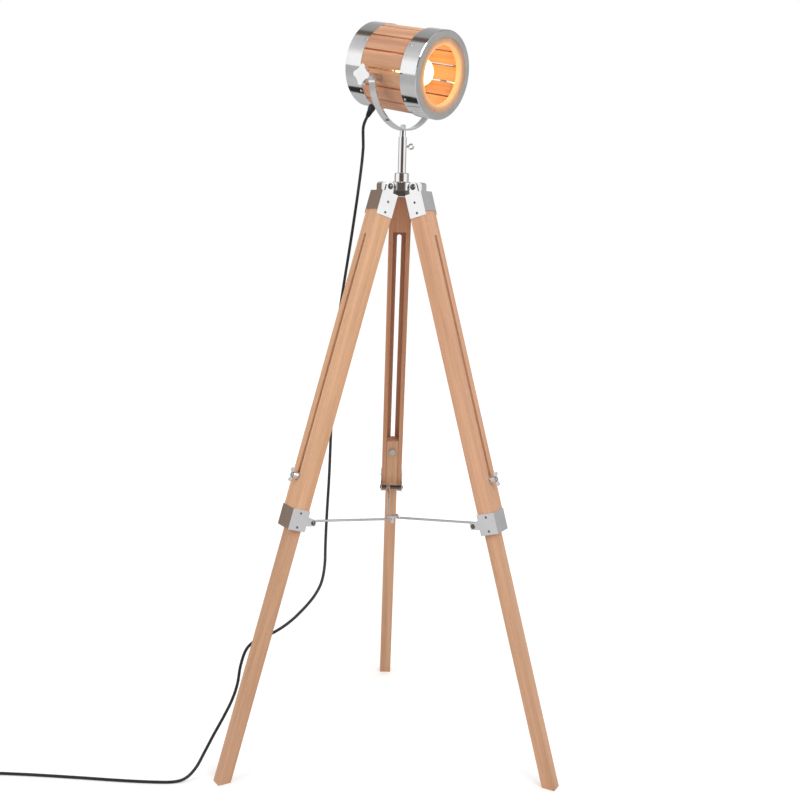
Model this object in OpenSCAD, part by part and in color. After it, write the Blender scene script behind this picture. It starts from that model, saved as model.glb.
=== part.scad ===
// Tripod spotlight floor lamp: three telescopic wooden legs that fold on a hub, a tiltable
// barrel head of wooden staves in a steel yoke, and the supply cord with its plug.
// Millimetres, Z up, floor at z = 0, the front of the lamp faces -Y.

/* [Tripod] */
// Height of the hub bolts above the floor
hinge_h = 1160; // [1080:5:1240]
// Radius of the circle that the feet stand on
foot_circle_r = 375; // [340:5:410]
// Distance of the hub bolts from the lamp's axis
hinge_r = 32; // [31:0.5:35]

/* [Upper legs] */
// Length of an upper leg below its hub bolt
upper_len = 690; // [640:5:740]
// Width of an upper leg
upper_w = 44; // [42:1:50]
// Depth of an upper leg, across its open side
upper_d = 34; // [33:0.5:40]
// Thickness of the outer wall of the channel
outer_wall = 8; // [6:0.5:10]
// Distance from the hub bolt to the top of the wood
wood_top = 15; // [14.5:0.5:18]
// Distance from the hub bolt to the top of the channel
channel_top = 88; // [80:1:95]
// Distance from the hub bolt to the top of the slot
slot_top = 100; // [98:1:130]
// Width of the slot
slot_w = 9; // [8.6:0.2:11]

/* [Lower legs] */
// Side of the square lower leg
bar_w = 25; // [22:0.5:25.5]
// Length of the lower leg that stays inside the upper one
bar_overlap = 125; // [115:1:150]
// Distance of the wing bolt above the lower end of the upper leg
wing_above_end = 100; // [80:1:110]
// Slot length left below the wing bolt
slot_below = 3; // [1:1:32]
// Diameter of the wing bolt
wing_bolt_d = 8; // [6:0.5:8]
// Diameter of the washer under the wing nut
washer_d = 18; // [16:1:28]

/* [Leg fittings] */
// Thickness of the sheet steel caps and brackets
sheet = 1.5; // [1:0.1:2]
// Length of the cap's outer plate on the wood
cap_front_len = 37; // [30:1:42]
// Length of the cap's side plates on the wood
cap_side_len = 45; // [42:1:55]
// Radius of the cap's ears about the hub bolt
ear_r = 9; // [7:0.5:9]
// Thickness of the cap's ears
ear_t = 2; // [1.5:0.1:2.5]
// Height of the lower bracket
bracket_h = 42; // [36:1:48]
// Diameter of the hub bolts and of the spreader's pivot pins
bolt_d = 6; // [5:0.5:6]
// Diameter of the heads of the hub bolts
bolt_head_d = 12; // [10:0.5:13]
// Diameter of the nail heads
nail_d = 5; // [4:0.5:6]

/* [Spreader] */
// Distance of a rod's pivot beyond the inner face of its leg
pivot_out = 15; // [13:0.5:18]
// Diameter of a spreader rod
rod_d = 4.5; // [4:0.1:5]
// Sideways offset of each rod from the middle of its leg
rod_offset = 7; // [6.5:0.1:8]
// Drop of the rods from their pivots to the centre joint
rod_drop = 18; // [14:1:24]
// Distance of the rods' inner ends from the lamp's axis
rod_end_r = 6; // [5:0.5:8]
// Diameter of the disc of the centre joint
centre_disc_d = 26; // [22:1:28]

/* [Hub and stem] */
// Diameter of the hub's disc
hub_d = 56; // [50:1:58]
// Reach of the hub's arms from the axis
arm_reach = 50.5; // [46:0.5:51]
// Width of a hub arm
arm_w = 20; // [16:1:22]
// Height of the hub above its bolts
hub_up = 9.3; // [8:0.1:11]
// Depth of the hub below its bolts
hub_down = 7; // [6:0.1:7.2]
// Width across flats of the nut under the hub
hub_nut_af = 27; // [22:1:28]
// Diameter of the collar on the hub
collar_d = 28.5; // [24:0.5:32]
// Height of the collar
collar_h = 17.7; // [14:0.1:22]
// Outer diameter of the stem's tube
tube_d = 16; // [15:0.5:18]
// Diameter of the rod that slides in the tube
stem_rod_d = 12; // [10:0.5:12]
// Height of the tube's end above the hub bolts
tube_up = 96; // [90:1:110]
// Height of the thumbscrew above the hub bolts
thumb_up = 78; // [74:1:84]
// Length of the rod that shows above the tube at rest
rod_show = 12.2; // [8:0.1:20]
// Length of the rod inside the tube at rest
rod_inside = 90; // [86:1:96]

/* [Yoke] */
// Distance of the yoke's strap from the axis at the tilt knobs
yoke_r = 97; // [95:0.5:110]
// Depth of the yoke from the tilt axis to the middle of the strap
yoke_drop = 89; // [86:0.5:94]
// Radius of the yoke's two side bends
yoke_side_r = 80; // [76:1:82]
// Width of the strap
strap_w = 15; // [12:0.5:18]
// Thickness of the strap
strap_t = 3; // [2:0.1:4]
// Diameter of the spacers between head and strap
spacer_d = 14; // [10:0.5:16]
// Diameter of a tilt knob's boss
knob_boss_d = 15; // [12:0.5:18]
// Length of a tilt knob's boss
knob_boss_len = 20; // [14:0.5:24]
// Side of the square plate of a tilt knob
knob_w = 31; // [26:0.5:36]
// Thickness of that plate
knob_t = 10; // [7:0.5:12]

/* [Head] */
// Direction that the head faces at rest, as an angle from +X
head_az = -39.5; // [-60:0.5:-20]
// Downward tilt of the head at rest
head_tilt = 10.5; // [0:0.5:16]
// Length of the barrel
barrel_len = 176; // [150:1:190]
// Distance of the barrel's middle ahead of the tilt axis
barrel_fwd = 2; // [0:0.5:8]
// Outer radius of the staves
stave_r = 79; // [74:0.5:79.5]
// Thickness of a stave
stave_t = 8; // [6:0.5:10]
// Number of staves
stave_n = 15; // [13:2:17]
// Gap between two staves
stave_gap = 3.5; // [2:0.1:5]
// Staves from one band screw to the next
screw_every = 3; // [1:1:5]
// Width of the front and rear bands
band_w = 38; // [30:1:42]
// Thickness of the front band
front_band_t = 3.5; // [2:0.1:4.5]
// Thickness of the rear band
rear_band_t = 1.5; // [1:0.1:2.5]
// Inner radius of the front lip
lip_r = 69.3; // [62:0.1:70.5]
// Inner radius of the wooden hoops
hoop_r = 55.4; // [50:0.1:60]
// Thickness of the wooden hoops
hoop_t = 10; // [8:0.5:14]
// Diameter of the bulb
bulb_d = 55; // [45:1:60]
// Distance of the bulb's centre ahead of the barrel's middle
bulb_fwd = 30; // [20:1:36]
// Length of the cord's strain relief
gland_len = 22; // [20:0.5:22]
// Distance of the strain relief ahead of the barrel's rear end
gland_inset = 16; // [14:0.5:20]
// Backward lean of the strain relief
gland_lean = 24; // [20:1:28]

/* [Cord] */
// Diameter of the cord
cord_d = 6; // [5:0.1:6.2]
// Straight length of the cord below its strain relief
neck_straight = 7; // [6:0.5:9]
// Radius of the cord's bend below the head
neck_bend_r = 38; // [32:1:42]
// Mean diameter of the coil of spare cord on the floor
coil_d = 66; // [60:1:72]
// Step of the coil's spiral for each turn
coil_pitch = 8; // [7.5:0.1:9]
// Turns of the coil's lower layer
coil_in_turns = 2.5; // [2.5:1:3.5]
// Turns of the coil's upper layer
coil_out_turns = 2; // [2:1:3]
// Thickness of the tie round the coil
tie_t = 0.8; // [0.5:0.1:1]

/* [Hidden] */
SIDES = ["left", "right", "rear"];
ENDS = ["left", "right"];
PER_LEG = ["upper_leg", "top_cap", "nails", "hub_bolt", "mid_bracket", "spreader_pin",
    "spreader_rod", "lower_leg", "wing_bolt", "wing_nut"];
$fn = 64;

// Clearances
running = 0.05;
gap = 0.3;
slack = 0.5;
over = 1;

// Places of the tripod: the row's origin is under the middle of the three feet
axis_y = -foot_circle_r / 4;
splay = atan((foot_circle_r - hinge_r) / hinge_h);
leg_out = 19;
leg_in = leg_out - upper_d;
bar_out = leg_out - outer_wall - slack;
bar_mid = bar_out - bar_w / 2;
wing_s = upper_len - wing_above_end;
washer_t = 2;
wing_base_d = wing_bolt_d + 6;
wing_base_h = 9;
wing_at = leg_out + 2 * gap + washer_t;
wing_bolt_end = wing_at + wing_base_h + 3;
bar_top = upper_len - bar_overlap;
bracket_end = upper_len + 3;
pivot_s = bracket_end - bracket_h / 2;
pivot_x = leg_in - pivot_out;

// The spreader: pivots in the leg's upright plane, then the rods' length and slope
pivot_r = hinge_r + pivot_s * sin(splay) + pivot_x * cos(splay);
pivot_z = hinge_h - pivot_s * cos(splay) + pivot_x * sin(splay);
rod_len = norm([pivot_r - rod_end_r, rod_drop]);
rod_slope = atan(rod_drop / (pivot_r - rod_end_r));
rod_eye_d = 12;
rod_eye_w = 8;
centre_disc_t = 3;
centre_bolt_d = 7;
centre_bolt_len = 14;
centre_head_d = 11;
pin_head_d = bolt_d + 4;
pin_sleeve_d = bolt_d + 3;
small_head_h = 2.5;
centre_z = pivot_z - rod_drop + rod_d / 2 / cos(rod_slope) + gap
    + (centre_disc_d / 2 - rod_end_r) * tan(rod_slope);

// Heights of the stem and the yoke
hub_top = hinge_h + hub_up;
hub_bottom = hinge_h - hub_down;
hub_nut_h = 9;
tube_end = hinge_h + tube_up;
rod_end = tube_end + rod_show;
rod_bottom = tube_end - rod_inside;
strap_in = yoke_r - strap_t / 2;
strap_out = yoke_r + strap_t / 2;
strap_top = yoke_drop - strap_t / 2;
strap_under = yoke_drop + strap_t / 2;
tilt_z = rod_end + gap + strap_under;

// The yoke follows a basket arch: two tight side bends that run into one wide bend below
side_y = yoke_r - yoke_side_r;
side_short = yoke_drop - yoke_side_r;
wide_z = (side_y * side_y - side_short * side_short) / (2 * side_short);
side_deg = atan(wide_z / side_y);
arch_steps = 48;
stud_d = 6;
nut_h = 7;
nut_af = 10;
stud_end = 1;
thumb_shaft_d = 5;
thumb_ring_r = 4.5;
thumb_wire_d = 3.4;
thumb_ring_x = 16.8;

// The barrel, in the head's own frame: +X ahead, +Y to its left, origin on the tilt axis
stave_pitch = 360 / stave_n;
pivot_deg = (ceil(90 / stave_pitch - 0.5) + 0.5) * stave_pitch - 90;
barrel_up = stave_r * sin(pivot_deg);
barrel_end = barrel_len / 2;
gland_back = barrel_end - gland_inset;
front_in = barrel_end - sheet;
stave_in = stave_r - stave_t;
stave_deg = stave_pitch - 2 * asin(stave_gap / 2 / (stave_r - stave_t / 2));
band_from = barrel_end - band_w;
front_band_r = stave_r + front_band_t;
rear_band_r = stave_r + rear_band_t;
screw_inset = 5.5;
screw_d = 5.6;
screw_h = 1.6;
holder_r = 20;
holder_foot = 6;
holder_foot_t = 4;
holder_end = -22;
holder_lip = 2;
holder_taper = 6;
socket_depth = 28;
socket_floor = 3;
cap_r = 13;
cap_end = -18;
cap_len = cap_end - holder_end + socket_depth - socket_floor;
contact_r = 5;
contact_h = socket_floor + 1;
bulb_neck = 16;
gland_tip_r = 4.2;
gland_nut_r = 8;
gland_nut_h = 7;
gland_root = 5;

// The cord's route below its neck, each point from the tripod's axis on the floor
cord_route = [
    [-77.6, 64, 1239], [-80, 62, 1205], [-86, 58, 1150], [-93.5, 54, 1090], [-101.5, 51, 1030],
    [-110, 50, 970], [-119, 49, 900], [-126, 47, 820], [-129.5, 44, 730], [-131.5, 40, 640],
    [-133, 33, 565], [-136, 22, 484], [-137, 8, 430], [-137, -8, 390], [-142, -26, 358],
    [-155, -43, 334], [-175, -62, 313], [-200, -82, 293], [-226, -97, 278], [-252, -106, 267],
    [-274, -109, 256], [-288, -110, 238], [-297, -115, 208], [-302, -121, 174],
    [-312, -125, 142], [-328, -130, 108], [-346, -140, 75], [-362, -155, 45], [-376, -172, 21],
    [-393, -187, 7], [-415, -196, 3.2], [-455, -198, 3.2], [-520, -194, 3.2], [-600, -186, 3.2],
    [-690, -178, 3.2], [-760, -174, 3.2], [-800, -173, 3.6]];
cord_ref = [cos(head_az), sin(head_az), 0];
cord_steps = 2;
cord_sides = 8;

// The cord's neck, each point [distance behind the tilt axis, height above it]: straight out of
// the strain relief, round a bend, and straight on to the first point of the route
tip_back = gland_back + gland_len * sin(gland_lean) - barrel_fwd;
tip_down = rear_band_r + gland_len * cos(gland_lean) - barrel_up;
gland_tip = [tip_back * cos(head_tilt) + tip_down * sin(head_tilt),
    tip_back * sin(head_tilt) - tip_down * cos(head_tilt)];
neck_from_deg = 90 - gland_lean - head_tilt;
neck_to_deg = 94;
neck_way = [cos(neck_from_deg), -sin(neck_from_deg)];
// The strain relief ends round the tilt axis, so that it turns clear of the neck's end
tip_slant = neck_from_deg - atan2(-gland_tip[1], gland_tip[0]);
gland_reach = norm(gland_tip) - gland_tip_r * sin(tip_slant);
neck_lead = (gap - (gland_tip_r - cord_d / 2) * sin(tip_slant)) / cos(tip_slant);
neck_steps = 5;
neck_turn = (neck_to_deg - neck_from_deg) / neck_steps;
neck_arc = [for (k = [0 : neck_steps]) let (a = neck_from_deg + k * neck_turn)
    gland_tip + neck_straight * neck_way
        + neck_bend_r * [sin(a) - sin(neck_from_deg), cos(a) - cos(neck_from_deg)]];
neck_end = [norm([cord_route[0][0], cord_route[0][1]]), cord_route[0][2] + slack - tilt_z];
neck_route = concat([gland_tip + neck_lead * neck_way], neck_arc,
    [for (k = [1 : neck_steps]) neck_arc[neck_steps]
        + (neck_end - neck_arc[neck_steps]) * k / neck_steps]);

// The coil of spare cord, just past where the photograph ends
coil_centre = [-828, -216];
coil_sides = 6;
coil_rings = 24;
tie_gap = 0.1;
coil_z = cord_d / 2 + tie_t + tie_gap;
coil_step_z = cord_d + 2 * gap;
coil_r_in = coil_d / 2 - coil_pitch * coil_in_turns / 2;
coil_r_start = coil_r_in + coil_pitch * coil_in_turns;
coil_r_end = coil_r_in + coil_pitch * coil_out_turns;
coil_turns = coil_in_turns + 0.5 + coil_out_turns;
plug_t = 14;
plug_w = 26;
plug_len = 38;
plug_sleeve = 14;
plug_pin_d = 4;
plug_pin_len = 19;
plug_pin_gap = 18.6;
tail_flat = 30;
tail_fall = 26;
tie_w = 9;

// ---- Frames ----

module at_axis() {
    translate([0, axis_y, 0]) children();
}

function leg_az(side) = side == "rear" ? 90 : side == "left" ? 210 : 330;

// +X away from the axis in the leg's upright plane, origin on the floor
module on_leg(side) {
    at_axis() rotate([0, 0, leg_az(side)]) children();
}

// Origin on the hub bolt, -Z down the leg, +X through its outer face
module along_leg(side) {
    on_leg(side) translate([hinge_r, 0, hinge_h]) rotate([0, -splay, 0]) children();
}

// Origin where the tilt axis crosses the stem, +X ahead of the head, level
module on_yoke() {
    at_axis() translate([0, 0, tilt_z]) rotate([0, 0, head_az]) children();
}

module on_head() {
    on_yoke() rotate([0, head_tilt, 0]) children();
}

// Z along the barrel's axis, origin at its middle, +X down
module along_barrel() {
    on_head() translate([barrel_fwd, 0, barrel_up]) rotate([0, 90, 0]) children();
}

// A cylinder along Y, centred
module cross_rod(d, length) {
    rotate([90, 0, 0]) cylinder(d = d, h = length, center = true);
}

// A block of the leg between two distances below the hub bolt
module leg_block(x_from, x_to, width, s_from, s_to) {
    translate([x_from, -width / 2, -s_to]) cube([x_to - x_from, width, s_to - s_from]);
}

// ---- Upper legs ----

module upper_leg(side) {
    color("burlywood") along_leg(side) difference() {
        leg_block(leg_in, leg_out, upper_w, wood_top, upper_len);
        leg_block(leg_in - over, leg_out - outer_wall, bar_w + 2 * slack, channel_top,
            upper_len + over);
        leg_slot();
    }
}

module leg_slot() {
    slot_end = wing_s + slot_below + slot_w / 2;
    leg_block(leg_in, leg_out + over, slot_w, slot_top + slot_w / 2, slot_end - slot_w / 2);
    for (s = [slot_top + slot_w / 2, slot_end - slot_w / 2])
        translate([leg_in, 0, -s]) rotate([0, 90, 0]) cylinder(d = slot_w, h = upper_d + over);
}

// Sheet steel cap on the wood, with two ears that hold the hub bolt
module top_cap(side) {
    cap_top = wood_top - sheet;
    ear_in = arm_w / 2 + gap;
    color("silver") along_leg(side) difference() {
        union() {
            leg_block(leg_in, leg_out + sheet, upper_w + 2 * sheet, cap_top, wood_top);
            leg_block(leg_out, leg_out + sheet, upper_w + 2 * sheet, cap_top,
                wood_top + cap_front_len);
            for (flip = [0, 1]) mirror([0, flip, 0]) {
                translate([0, upper_w / 2 + sheet / 2, 0])
                    leg_block(leg_in, leg_out + sheet, sheet, cap_top, wood_top + cap_side_len);
                translate([0, ear_in + ear_t / 2, 0]) {
                    leg_block(-ear_r, ear_r, ear_t, 0, cap_top + sheet / 2);
                    cross_rod(2 * ear_r, ear_t);
                }
            }
        }
        cross_rod(bolt_d, upper_w);
    }
}

// Nail heads on the side plates of the cap and of the lower bracket
module nails(side) {
    cap_s = [wood_top + cap_side_len * 0.38, wood_top + cap_side_len * 0.84];
    bracket_s = [pivot_s - bracket_h / 3, pivot_s + bracket_h / 3];
    nail_x = (leg_in + leg_out) / 2;
    color("gainsboro") along_leg(side)
        for (s = concat(cap_s, bracket_s)) for (flip = [0, 1]) mirror([0, flip, 0])
            translate([nail_x, upper_w / 2 + sheet, -s]) rotate([-90, 0, 0])
                dome(nail_d, nail_d / 4);
}

// A low domed head standing on the XY plane
module dome(d, h) {
    rotate_extrude() intersection() {
        translate([0, h - (d * d / 4 + h * h) / (2 * h)]) circle(r = (d * d / 4 + h * h) / (2 * h));
        square([d, h]);
    }
}

module hub_bolt(side) {
    ear_out = arm_w / 2 + gap + ear_t;
    head_h = 4;
    color("silver") along_leg(side) {
        cross_rod(bolt_d, 2 * ear_out + head_h);
        for (flip = [0, 1]) mirror([0, flip, 0])
            translate([0, ear_out, 0]) rotate([-90, 0, 0]) dome(bolt_head_d, head_h);
    }
}

// Steel bracket at the foot of the upper leg, with two cheeks for the spreader's pin
module mid_bracket(side) {
    from = bracket_end - bracket_h;
    nose = bolt_d;
    lug = nose + 3;
    brow = leg_in - 2;
    cheek = [[leg_out + sheet, -from], [brow, -from], [brow, lug - pivot_s],
        [pivot_x - nose, nose - pivot_s], [pivot_x - nose, -nose - pivot_s],
        [brow, -lug - pivot_s], [brow, -bracket_end], [leg_out + sheet, -bracket_end]];
    color("silver") along_leg(side) difference() {
        union() {
            leg_block(leg_out, leg_out + sheet, upper_w + 2 * sheet, from, bracket_end);
            for (flip = [0, 1]) mirror([0, flip, 0])
                translate([0, upper_w / 2 + sheet, 0]) rotate([90, 0, 0])
                    linear_extrude(sheet) polygon(cheek);
        }
        translate([pivot_x, 0, -pivot_s]) cross_rod(bolt_d, upper_w + 4 * sheet);
    }
}

// Pin across the bracket, with a sleeve on each side of the rod's eye
module spreader_pin(side) {
    span = upper_w + 2 * sheet;
    eye_side = rod_eye_w / 2 + gap;
    color("gainsboro") along_leg(side) translate([pivot_x, 0, -pivot_s]) {
        cross_rod(bolt_d, span + small_head_h);
        for (flip = [0, 1]) mirror([0, flip, 0])
            translate([0, span / 2, 0]) rotate([-90, 0, 0]) dome(pin_head_d, small_head_h);
        for (part = [[-upper_w / 2, rod_offset - eye_side], [rod_offset + eye_side, upper_w / 2]])
            translate([0, (part[0] + part[1]) / 2, 0]) cross_rod(pin_sleeve_d, part[1] - part[0]);
    }
}

// ---- Spreader ----

module spreader_rod(side) {
    color("lightgrey") on_leg(side) translate([pivot_r, rod_offset, pivot_z])
        rotate([0, -rod_slope, 0]) difference() {
            union() {
                cross_rod(rod_eye_d, rod_eye_w);
                translate([-rod_len, 0, 0]) rotate([0, 90, 0]) cylinder(d = rod_d, h = rod_len);
            }
            cross_rod(bolt_d + 2 * running, rod_eye_w + over);
        }
}

module spreader_centre() {
    color("silver") at_axis() translate([0, 0, centre_z]) {
        cylinder(d = centre_disc_d, h = centre_disc_t);
        translate([0, 0, -centre_bolt_len]) cylinder(d = centre_bolt_d, h = centre_bolt_len + over);
        translate([0, 0, centre_disc_t]) dome(centre_head_d, small_head_h);
    }
}

// ---- Lower legs ----

module lower_leg(side) {
    color("tan") difference() {
        along_leg(side) difference() {
            leg_block(bar_mid - bar_w / 2, bar_mid + bar_w / 2, bar_w, bar_top,
                2 * hinge_h - bar_top);
            translate([leg_in - over, 0, -wing_s]) rotate([0, 90, 0])
                cylinder(d = wing_bolt_d, h = upper_d);
        }
        at_axis() translate([-hinge_h, -hinge_h, -2 * hinge_h])
            cube([2 * hinge_h, 2 * hinge_h, 2 * hinge_h]);
    }
}

// Bolt with its hexagonal head inside the leg, and the washer outside
module wing_bolt(side) {
    head_d = wing_bolt_d * 1.9;
    head_h = 5;
    bar_face = bar_out - bar_w;
    washer_at = leg_out + gap;
    color("silver") along_leg(side) translate([0, 0, -wing_s]) rotate([0, 90, 0]) {
        translate([0, 0, bar_face - head_h]) cylinder(d = head_d, h = head_h, $fn = 6);
        translate([0, 0, bar_face - over])
            cylinder(d = wing_bolt_d, h = wing_bolt_end - bar_face + over);
        translate([0, 0, washer_at]) cylinder(d = washer_d, h = washer_t);
    }
}

// Tapered boss with two ears, which swell towards their rounded tips
module wing_nut(side) {
    wing_t = 3;
    tip_r = 3.5;
    tip_at = [10.5, wing_base_h + 2];
    root_d = wing_base_d + 1;
    crown_d = wing_base_d - 2;
    color("gainsboro") along_leg(side) translate([wing_at, 0, -wing_s]) rotate([0, 90, 0])
        difference() {
            union() {
                cylinder(d1 = root_d, d2 = crown_d, h = wing_base_h);
                for (turn = [0, 180]) rotate([90, 0, turn]) translate([0, 0, -wing_t / 2])
                    linear_extrude(wing_t) {
                        polygon([[0, 0], [wing_base_d / 2, 0], tip_at + tip_r * [cos(-40), sin(-40)],
                            tip_at + tip_r * [cos(130), sin(130)], [0, wing_base_h]]);
                        translate(tip_at) circle(r = tip_r);
                    }
            }
            translate([0, 0, -over])
                cylinder(d = wing_bolt_d + 2 * running, h = wing_base_h + 2 * tip_r + 2 * over);
        }
}

// ---- Hub and stem ----

module hub() {
    height = hub_up + hub_down;
    edge = 1.5;
    ear_room = ear_r + 2 * gap;
    color("dimgray") difference() {
        union() {
            at_axis() translate([0, 0, hub_bottom]) rotate_extrude() polygon([[0, 0],
                [hub_d / 2, 0], [hub_d / 2, height - edge], [hub_d / 2 - edge, height], [0, height]]);
            for (side = SIDES) on_leg(side) translate([0, arm_w / 2, hub_bottom])
                rotate([90, 0, 0]) linear_extrude(arm_w) arm_profile(height);
        }
        for (side = SIDES) on_leg(side) translate([hinge_r, 0, hinge_h]) {
            cross_rod(bolt_d + 2 * running, arm_w + over);
            for (flip = [0, 1]) mirror([0, flip, 0]) translate([0, arm_w / 2, 0]) {
                rotate([-90, 0, 0]) cylinder(r = ear_room, h = hub_d / 2);
                translate([-ear_room, 0, -hub_d])
                    cube([2 * ear_room, hub_d / 2, hub_d]);
            }
        }
        at_axis() translate([0, 0, hub_bottom - over]) cylinder(d = tube_d, h = height + 2 * over);
    }
}

// Side view of a hub arm, its outer top corner rounded
module arm_profile(height) {
    corner = 7;
    square([arm_reach - corner, height]);
    square([arm_reach, height - corner]);
    translate([arm_reach - corner, height - corner]) circle(r = corner);
}

module hub_nut() {
    color("gray") at_axis() translate([0, 0, hub_bottom - hub_nut_h])
        cylinder(d = hub_nut_af / cos(30), h = hub_nut_h, $fn = 6);
}

module collar() {
    edge = 1.2;
    color("silver") at_axis() translate([0, 0, hub_top]) rotate_extrude() polygon([
        [tube_d / 2, 0], [collar_d / 2, 0], [collar_d / 2, collar_h - edge],
        [collar_d / 2 - edge, collar_h], [tube_d / 2, collar_h]]);
}

module stem_tube() {
    color("gainsboro") at_axis() difference() {
        translate([0, 0, hub_bottom]) cylinder(d = tube_d, h = tube_end - hub_bottom);
        translate([0, 0, rod_bottom - gap])
            cylinder(d = stem_rod_d + 2 * running, h = rod_inside + over);
        translate([0, 0, hinge_h + thumb_up]) rotate([0, 90, 0])
            cylinder(d = thumb_shaft_d + 2 * running, h = tube_d);
    }
}

// Screw with a ring for a head, which clamps the rod
module thumbscrew() {
    tip = stem_rod_d / 2 + gap;
    color("silver") at_axis() translate([0, 0, hinge_h + thumb_up]) {
        translate([tip, 0, 0]) rotate([0, 90, 0])
            cylinder(d = thumb_shaft_d, h = thumb_ring_x - thumb_ring_r - tip);
        translate([thumb_ring_x, 0, 0]) rotate([90, 0, 0]) rotate_extrude()
            translate([thumb_ring_r, 0]) circle(d = thumb_wire_d);
    }
}

module stem_rod() {
    color("lightgrey") at_axis() {
        translate([0, 0, rod_bottom]) cylinder(d = stem_rod_d, h = rod_end - rod_bottom);
        translate([0, 0, rod_end - over])
            cylinder(d = stud_d, h = over + 2 * gap + strap_t + nut_h + stud_end);
    }
}

// ---- Yoke ----

// A point beside the middle of the strap, where the strap's outer side faces an angle below +Y
function arch(a, off) = a < side_deg
    ? [side_y, 0] + (yoke_side_r + off) * [cos(a), -sin(a)]
    : a > 180 - side_deg
        ? [-side_y, 0] + (yoke_side_r + off) * [cos(a), -sin(a)]
        : [0, wide_z] + (yoke_drop + wide_z + off) * [cos(a), -sin(a)];

// The arch runs on straight above the tilt axis, and the strap's width and its rounded ends
// are cut from it along that axis
module yoke() {
    color("silver") on_yoke() difference() {
        intersection() {
            rotate([90, 0, 90]) linear_extrude(2 * strap_w, center = true) polygon(concat(
                [[strap_out, strap_w]],
                [for (i = [0 : arch_steps]) arch(180 * i / arch_steps, strap_t / 2)],
                [[-strap_out, strap_w], [-strap_in, strap_w]],
                [for (i = [arch_steps : -1 : 0]) arch(180 * i / arch_steps, -strap_t / 2)],
                [[strap_in, strap_w]]));
            rotate([90, 0, 0]) linear_extrude(2 * (strap_out + over), center = true) {
                translate([-strap_w / 2, -strap_under - over])
                    square([strap_w, strap_under + over]);
                circle(d = strap_w);
            }
        }
        cross_rod(stud_d + 2 * running, 2 * strap_out + over);
        translate([0, 0, -strap_under - over])
            cylinder(d = stud_d + 2 * running, h = strap_t + 2 * over);
    }
}

module yoke_nut() {
    color("gainsboro") on_yoke() translate([0, 0, gap - strap_top]) difference() {
        cylinder(d = nut_af / cos(30), h = nut_h, $fn = 6);
        translate([0, 0, -over]) cylinder(d = stud_d, h = nut_h + 2 * over);
    }
}

function end_sign(end) = end == "left" ? 1 : -1;

// Spacer seated on a stave, with the stud that passes through the strap into the knob
module tilt_pivot(end) {
    color("gainsboro") difference() {
        on_head() rotate([-90 * end_sign(end), 0, 0]) {
            cylinder(d = spacer_d, h = strap_in - 2 * gap);
            cylinder(d = stud_d, h = strap_out + gap + knob_boss_len + knob_t / 2);
        }
        along_barrel() cylinder(r = stave_r, h = barrel_len, center = true);
    }
}

// Boss with a square plate, its corners rounded into four lobes
module tilt_knob(end) {
    lobe_r = 6;
    lobe_at = knob_w / 2 - lobe_r;
    waist = knob_w - 4;
    color("silver") on_head() rotate([-90 * end_sign(end), 0, 0])
        translate([0, 0, strap_out + gap]) difference() {
            union() {
                cylinder(d = knob_boss_d, h = knob_boss_len + over);
                translate([0, 0, knob_boss_len]) rotate([0, 0, 45]) {
                    translate([-waist / 2, -waist / 2, 0]) cube([waist, waist, knob_t]);
                    for (x = [-1, 1]) for (y = [-1, 1]) translate([x * lobe_at, y * lobe_at, 0])
                        cylinder(r = lobe_r, h = knob_t);
                }
            }
            translate([0, 0, -over])
                cylinder(d = stud_d + 2 * running, h = knob_boss_len + knob_t / 2 + 2 * over);
        }
}

// ---- Head ----

module staves() {
    color("burlywood") along_barrel() for (i = [0 : stave_n - 1])
        rotate([0, 0, 180 + i * stave_pitch + (stave_pitch - stave_deg) / 2])
            rotate_extrude(angle = stave_deg) translate([stave_in, -front_in])
                square([stave_t, 2 * front_in]);
}

// A wooden ring inside the ends of the staves, from one place along the barrel
module hoop(from) {
    color("peru") along_barrel() translate([0, 0, from]) difference() {
        cylinder(r = stave_in, h = hoop_t);
        translate([0, 0, -over]) cylinder(r = hoop_r, h = hoop_t + 2 * over);
    }
}

module front_hoop() {
    hoop(front_in - hoop_t);
}

module rear_hoop() {
    hoop(-front_in);
}

module front_band() {
    edge = 1.2;
    color("silver") along_barrel() rotate_extrude() polygon([[stave_r, band_from],
        [front_band_r, band_from], [front_band_r, barrel_end - edge],
        [front_band_r - edge, barrel_end], [lip_r, barrel_end], [lip_r, front_in],
        [stave_r, front_in]]);
}

module rear_band() {
    color("silver") along_barrel() rotate_extrude()
        translate([stave_r, -barrel_end]) square([rear_band_t, band_w]);
}

module back_plate() {
    color("gray") along_barrel() translate([0, 0, -barrel_end]) cylinder(r = stave_r, h = sheet);
}

// Screws through both bands into the middle of every few staves
module band_screws() {
    rows = [[front_band_r, band_from + screw_inset], [rear_band_r, -band_from - screw_inset]];
    color("gainsboro") along_barrel()
        for (row = rows) for (i = [screw_every - 1 : screw_every : stave_n - 1])
            rotate([0, 0, 180 + (i + 0.5) * stave_pitch]) translate([row[0], 0, row[1]])
                rotate([0, 90, 0]) dome(screw_d, screw_h);
}

module lampholder() {
    color("whitesmoke") along_barrel() difference() {
        rotate_extrude() polygon([[0, -front_in], [holder_r + holder_foot, -front_in],
            [holder_r + holder_foot, holder_foot_t - front_in],
            [holder_r, holder_foot - front_in], [holder_r, holder_end - holder_taper],
            [holder_r - holder_lip, holder_end], [0, holder_end]]);
        translate([0, 0, holder_end - socket_depth])
            cylinder(r = cap_r + gap, h = socket_depth + over);
    }
}

module bulb_cap() {
    color("gold") along_barrel() {
        translate([0, 0, cap_end - cap_len]) cylinder(r = cap_r, h = cap_len);
        translate([0, 0, holder_end - socket_depth + gap]) cylinder(r = contact_r, h = contact_h);
    }
}

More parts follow.
